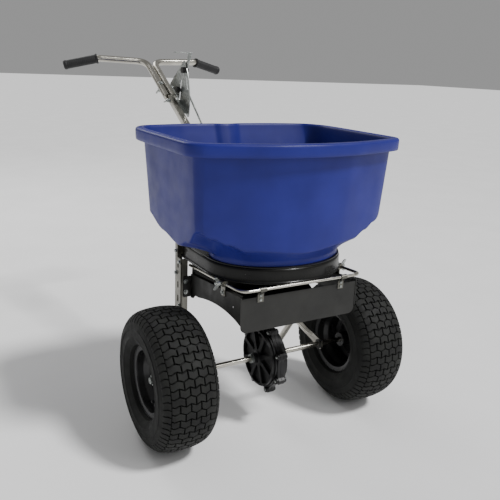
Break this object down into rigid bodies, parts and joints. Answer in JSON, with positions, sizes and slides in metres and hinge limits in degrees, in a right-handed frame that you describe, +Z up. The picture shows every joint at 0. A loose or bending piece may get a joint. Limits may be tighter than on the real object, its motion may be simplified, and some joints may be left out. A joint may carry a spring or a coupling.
{
  "type": "walk-behind broadcast spreader",
  "caption": "Walk-behind salt spreader: poly hopper over a spinning disc, baffles and shield, stainless frame, wide turf tyres, telescoping handle with gate lever.",
  "frame": {"origin": "middle of the bounding box, at the ground", "axes": "+Z up, -Y is the way the spreader is pushed, +Y towards the handle, X along the axle with +X the user's right side seen from the front"},
  "size_m": [0.742, 1.154, 0.994],
  "materials": {
    "blue_poly": "satin rotomoulded polyethylene, royal blue",
    "gloss_black_steel": "gloss black paint",
    "stainless": "bright brushed stainless steel",
    "zinc_plate": "zinc plated steel, slightly mottled",
    "black_plastic": "matt black moulded plastic",
    "gearbox_black": "satin black moulded case",
    "rubber": "matt black rubber",
    "tyre": "dark grey tyre rubber"
  },
  "bodies": {
    "chassis": {"hopper": "blue_poly", "deck_housing": "gloss_black_steel", "deck_plate": "gloss_black_steel", "shaft_bushing": "black_plastic", "left_leg": "stainless", "right_leg": "stainless", "left_foot_cap": "rubber", "right_foot_cap": "rubber", "left_post": "stainless", "right_post": "stainless", "left_axle_bushing": "black_plastic", "right_axle_bushing": "black_plastic", "rear_crossmember": "stainless", "handle_saddle": "stainless", "handle_sleeve": "stainless", "sleeve_wing_nut": "stainless", "shield_rod": "stainless", "left_baffle": "black_plastic", "rear_panel": "black_plastic", "right_baffle": "black_plastic", "left_rod_clamp": "stainless", "right_rod_clamp": "stainless", "left_clamp_wing_nut": "stainless", "right_clamp_wing_nut": "stainless", "gearbox_right_half": "gearbox_black", "gearbox_left_half": "gearbox_black", "quadrant_plate": "zinc_plate", "lever_pivot": "black_plastic"},
    "drive": {"axle": "stainless", "axle_gear": "zinc_plate", "left_rim": "gloss_black_steel", "left_tyre": "tyre", "left_hub_bolt": "stainless", "left_valve_stem": "rubber", "right_hub_bolt": "stainless"},
    "free_wheel": {"right_rim": "gloss_black_steel", "right_tyre": "tyre", "right_valve_stem": "rubber"},
    "spinner": {"impeller_shaft": "stainless", "pinion": "zinc_plate", "impeller": "black_plastic", "agitator": "zinc_plate"},
    "lever": {"control_lever": "zinc_plate"},
    "gate": {"shutoff_gate": "zinc_plate", "gate_rod": "zinc_plate"},
    "stop": {"stop_knob": "black_plastic"},
    "shield": {"front_shield": "black_plastic", "left_shield_clip": "stainless", "right_shield_clip": "stainless"},
    "handle": {"handle_tongue": "stainless", "left_handle_tube": "stainless", "right_handle_tube": "stainless", "left_grip": "rubber", "right_grip": "rubber", "upper_wing_nut": "stainless"}
  },
  "joints": [
    {"name": "axle_spin", "type": "hinge", "parent": "chassis", "child": "drive", "pos_m": [0, -0.365, 0.184], "axis": [1, 0, 0], "continuous": true},
    {"name": "free_wheel_spin", "type": "hinge", "parent": "chassis", "child": "free_wheel", "pos_m": [0, -0.365, 0.184], "axis": [1, 0, 0], "continuous": true},
    {"name": "spinner_turn", "type": "hinge", "parent": "chassis", "child": "spinner", "pos_m": [0, -0.365, 0.385], "axis": [0, 0, 1], "continuous": true},
    {"name": "lever_tilt", "type": "hinge", "parent": "chassis", "child": "lever", "pos_m": [0.032, 0.265, 0.938], "axis": [1, 0, 0], "range_deg": [-30, 0]},
    {"name": "gate_slide", "type": "slide", "parent": "chassis", "child": "gate", "axis": [0, 1, 0], "range_m": [-0.0336, 0]},
    {"name": "stop_slide", "type": "slide", "parent": "chassis", "child": "stop", "axis": [0, 0.2117, -0.9773], "range_m": [-0.028, 0.008]},
    {"name": "shield_swing", "type": "hinge", "parent": "chassis", "child": "shield", "pos_m": [0, -0.533, 0.455], "axis": [1, 0, 0], "range_deg": [-80, 5]},
    {"name": "handle_slide", "type": "slide", "parent": "chassis", "child": "handle", "axis": [0, 0.8616, 0.5075], "range_m": [0, 0.055]}
  ],
  "couplings": [
    {"joint": "spinner_turn", "follows": "axle_spin", "ratio": -5},
    {"joint": "gate_slide", "follows": "lever_tilt", "m_per_rad": 0.06398}
  ]
}
